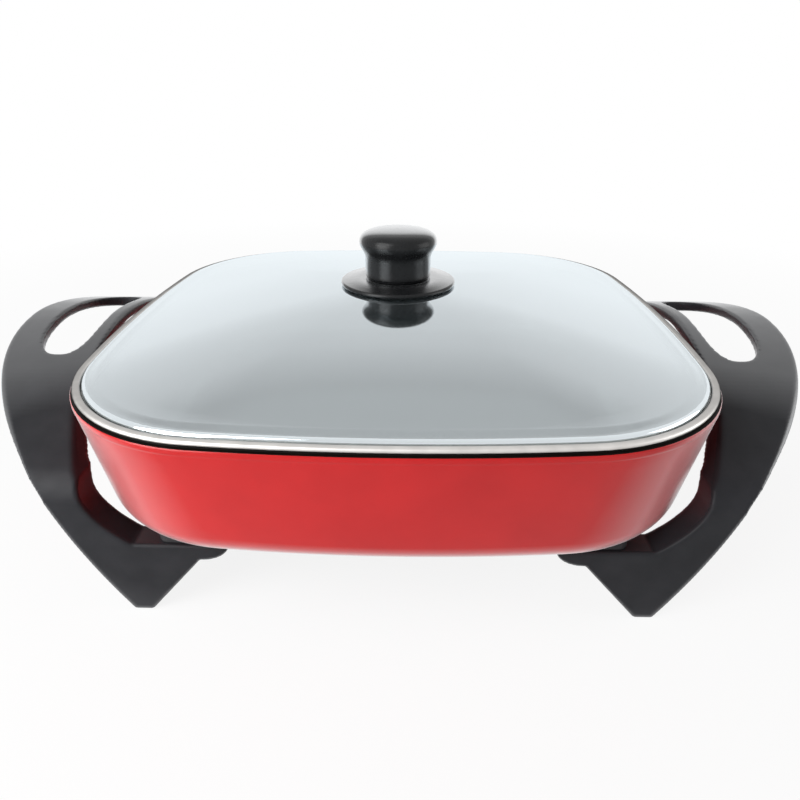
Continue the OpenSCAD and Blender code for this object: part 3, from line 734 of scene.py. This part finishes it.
# mesh of the surface where a field of distances is zero, one point for each cell that it crosses
def fieldSurface(field, origin, step):
    inside = field < 0
    n = [size - 1 for size in field.shape]
    corners = [(i, j, k) for i in (0, 1) for j in (0, 1) for k in (0, 1)]
    count = sum(inside[i:n[0] + i, j:n[1] + j, k:n[2] + k].astype(np.uint8) for i, j, k in corners)
    cells = np.argwhere((count > 0) & (count < 8))
    number = np.full(count.shape, -1)
    number[tuple(cells.T)] = np.arange(len(cells))
    total = np.zeros((len(cells), 3))
    hits = np.zeros((len(cells), 1))
    for corner in corners:
        for axis in (0, 1, 2):
            if corner[axis]:
                continue
            ahead = np.eye(3, dtype=int)[axis]
            a = field[tuple((cells + corner).T)]
            b = field[tuple((cells + corner + ahead).T)]
            crossed = (a < 0) != (b < 0)
            share = np.where(crossed, a / np.where(crossed, a - b, 1), 0)
            total += np.where(crossed[:, None], np.array(corner) + share[:, None] * ahead, 0)
            hits += crossed[:, None]
    verts = np.array(origin) + step * (cells + total / hits)
    faces = []
    for axis, u, v in ((0, 1, 2), (1, 2, 0), (2, 0, 1)):
        change = np.diff(inside.astype(np.int8), axis=axis)
        edges = np.argwhere(change)
        around = []
        for du, dv in ((-1, -1), (0, -1), (0, 0), (-1, 0)):
            cell = edges.copy()
            cell[:, u] += du
            cell[:, v] += dv
            around.append(number[tuple(cell.T)])
        quads = np.stack(around, axis=1)
        faces += np.where(change[tuple(edges.T)][:, None] < 0, quads, quads[:, ::-1]).tolist()
    return verts, faces


def makeHandles():
    step = handle["mesh"]
    margin = handle["margin"]  # keeps the grid's planes off the flat faces
    low = [v - margin for v in (handle["armEnd"], -handle["legFace"], 0)]
    high = [v + margin for v in (handle["reach"], handle["legFace"], handle["gripTop"])]
    x, y, z = (np.arange(a, b, step) for a, b in zip(low, high))
    front = outlineDistance(*np.meshgrid(x, z, indexing="ij"), frontOutline())[:, None, :]
    side = outlineDistance(*np.meshgrid(y, z, indexing="ij"), sideOutline())[None, :, :]
    plan = outlineDistance(*np.meshgrid(x, y, indexing="ij"), planOutline())[:, :, None]
    hole = outlineDistance(*np.meshgrid(x, y, indexing="ij"), holeOutline())[:, :, None]
    field = roundedOverlap(front, side, handle["edge"])
    field = roundedOverlap(field, plan, handle["gripEdge"])
    field = roundedOverlap(field, -hole, handle["holeEdge"])
    # screw holes through the arms, with room for the heads below
    screwX, screwY = handle["screw"]
    centre = np.hypot(x[:, None] - screwX, np.abs(y)[None, :] - screwY)[:, :, None]
    armLow = pan["bottom"] - castings["padDrop"] - handle["armThick"]
    pocket = np.maximum(centre - handle["pocket"], z[None, None, :] - armLow)
    field = np.maximum(field, -np.minimum(pocket, centre - handle["bore"]))
    verts, faces = fieldSurface(field, low, step)
    finish = [made["blackMoulding"]]
    for name, sign in (("left", -1), ("right", 1)):
        shape = ((verts * (sign, 1, 1)).tolist(), faces, [0] * len(faces))
        stands = [name + "_handle"]
        makePiece(name + "_grip_frame", shape, finish, "pot", stands, sharp=180)
    print("handle points:", len(verts))


makeHandles()

# the pieces that keep their shape get their finish here
plainPieces = {
    "heating_element": "heaterSteel", "element_clamps": "zincPlate", "clamp_screws": "zincPlate",
    "terminal_pin_front": "pinMetal", "terminal_pin_rear": "pinMetal", "end_seals": "ceramic",
    "probe_sleeve": "sleeveMetal", "inlet_guard": "blackMoulding", "guard_screws": "zincPlate",
    "earth_strip": "pinMetal", "earth_screw": "pinMetal", "handle_screws": "zincPlate",
    "handle_washers": "zincPlate", "knob_insert": "pinMetal", "knob_screw": "polishedSteel",
    "screw_washer": "polishedSteel", "upper_gasket": "gasketRubber", "lower_gasket": "gasketRubber",
}
for nodeName, finish in plainPieces.items():
    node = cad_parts[nodeName]
    node.data.materials.clear()
    node.data.materials.append(made[finish])
print("small pieces finished:", len(plainPieces))

# studio: white floor and background, two soft lamps on the left and a weak one on the right
studio = {
    "skyLight": 0.2, "floorColour": (0.9, 0.9, 0.9),
    # share of plain white in the floor, from its middle out to where it meets the background
    "floorGlow": [(0.0, 0.84), (0.2, 0.92), (0.45, 1.0)], "floorSize": 6, "fade": 2.0,
    "aimHeight": 0.09,
    "lamps": {
        "key": {"at": (-0.65, -0.6, 0.75), "size": 0.7, "watts": 8},
        "low": {"at": (-0.6, -0.6, 0.2), "size": 0.5, "watts": 4.2},
        "side": {"at": (0.8, -0.1, 0.3), "size": 0.5, "watts": 1.6},
    },
}


def seenRays(tree):
    rays = tree.nodes.new("ShaderNodeLightPath")
    total = rays.outputs["Is Camera Ray"]
    for name in ("Is Glossy Ray", "Is Transmission Ray"):
        add = tree.nodes.new("ShaderNodeMath")
        add.operation = "MAXIMUM"
        tree.links.new(total, add.inputs[0])
        tree.links.new(rays.outputs[name], add.inputs[1])
        total = add.outputs["Value"]
    return total


def makeWorld():
    world = bpy.data.worlds.new("studio")
    scene.world = world
    world.use_nodes = True
    tree = world.node_tree
    seen = tree.nodes["Background"]
    seen.inputs["Color"].default_value = (1, 1, 1, 1)
    seen.inputs["Strength"].default_value = 1.0
    light = tree.nodes.new("ShaderNodeBackground")
    light.inputs["Color"].default_value = (1, 1, 1, 1)
    light.inputs["Strength"].default_value = studio["skyLight"]
    pick = tree.nodes.new("ShaderNodeMixShader")
    tree.links.new(seenRays(tree), pick.inputs["Fac"])
    tree.links.new(light.outputs["Background"], pick.inputs[1])
    tree.links.new(seen.outputs["Background"], pick.inputs[2])
    tree.links.new(pick.outputs["Shader"], tree.nodes["World Output"].inputs["Surface"])


def makeFloor():
    mat, tree, plain, place = startMaterial("floorWhite")
    tree.nodes.remove(plain)
    matt = tree.nodes.new("ShaderNodeBsdfDiffuse")
    matt.inputs["Color"].default_value = (*studio["floorColour"], 1)
    glow = tree.nodes.new("ShaderNodeEmission")
    glow.inputs["Strength"].default_value = 1.0
    far = tree.nodes.new("ShaderNodeVectorMath")
    far.operation = "LENGTH"
    tree.links.new(place, far.inputs[0])
    fade = tree.nodes.new("ShaderNodeMapRange")
    fade.inputs["From Max"].default_value = studio["fade"]
    tree.links.new(far.outputs["Value"], fade.inputs["Value"])
    share = tree.nodes.new("ShaderNodeMath")
    share.operation = "MULTIPLY"
    tree.links.new(seenRays(tree), share.inputs[0])
    tree.links.new(addRamp(tree, fade.outputs["Result"], studio["floorGlow"]), share.inputs[1])
    mix = tree.nodes.new("ShaderNodeMixShader")
    tree.links.new(share.outputs["Value"], mix.inputs["Fac"])
    tree.links.new(matt.outputs["BSDF"], mix.inputs[1])
    tree.links.new(glow.outputs["Emission"], mix.inputs[2])
    tree.links.new(mix.outputs["Shader"], tree.nodes["Material Output"].inputs["Surface"])
    s = studio["floorSize"]
    mesh = bpy.data.meshes.new("floor")
    mesh.from_pydata([(-s, -s, 0), (s, -s, 0), (s, s, 0), (-s, s, 0)], [], [(0, 1, 2, 3)])
    mesh.materials.append(mat)
    floor = bpy.data.objects.new("floor", mesh)
    scene.collection.objects.link(floor)


def makeLamps():
    for name, look in studio["lamps"].items():
        lamp = bpy.data.lights.new(name, "AREA")
        lamp.size = look["size"]
        lamp.energy = look["watts"]
        stand = bpy.data.objects.new(name, lamp)
        stand.location = look["at"]
        aim = -stand.location.copy()
        aim.z += studio["aimHeight"]
        stand.rotation_euler = aim.to_track_quat("-Z", "Y").to_euler()
        scene.collection.objects.link(stand)


makeWorld()
makeFloor()
makeLamps()
print("studio made")

# the photograph's view
shot = {
    "at": (0.00794, -0.3653, 0.2403), "pitch": 26.88, "heading": 1.245, "roll": 0.126, "lens": 28.214,
    "sensor": 36, "sideShift": 0.0028, "nearest": 0.01,
}


def makeCamera():
    camera = bpy.data.cameras.new("camera")
    camera.lens = shot["lens"]
    camera.sensor_width = shot["sensor"]
    camera.shift_x = shot["sideShift"]
    camera.clip_start = shot["nearest"]
    stand = bpy.data.objects.new("camera", camera)
    heading = Matrix.Rotation(radians(shot["heading"]), 4, "Z")
    pitch = Matrix.Rotation(radians(90 - shot["pitch"]), 4, "X")
    roll = Matrix.Rotation(radians(shot["roll"]), 4, "Z")
    stand.matrix_world = Matrix.Translation(shot["at"]) @ heading @ pitch @ roll
    scene.collection.objects.link(stand)
    scene.camera = stand


makeCamera()
scene.view_settings.view_transform = "Standard"
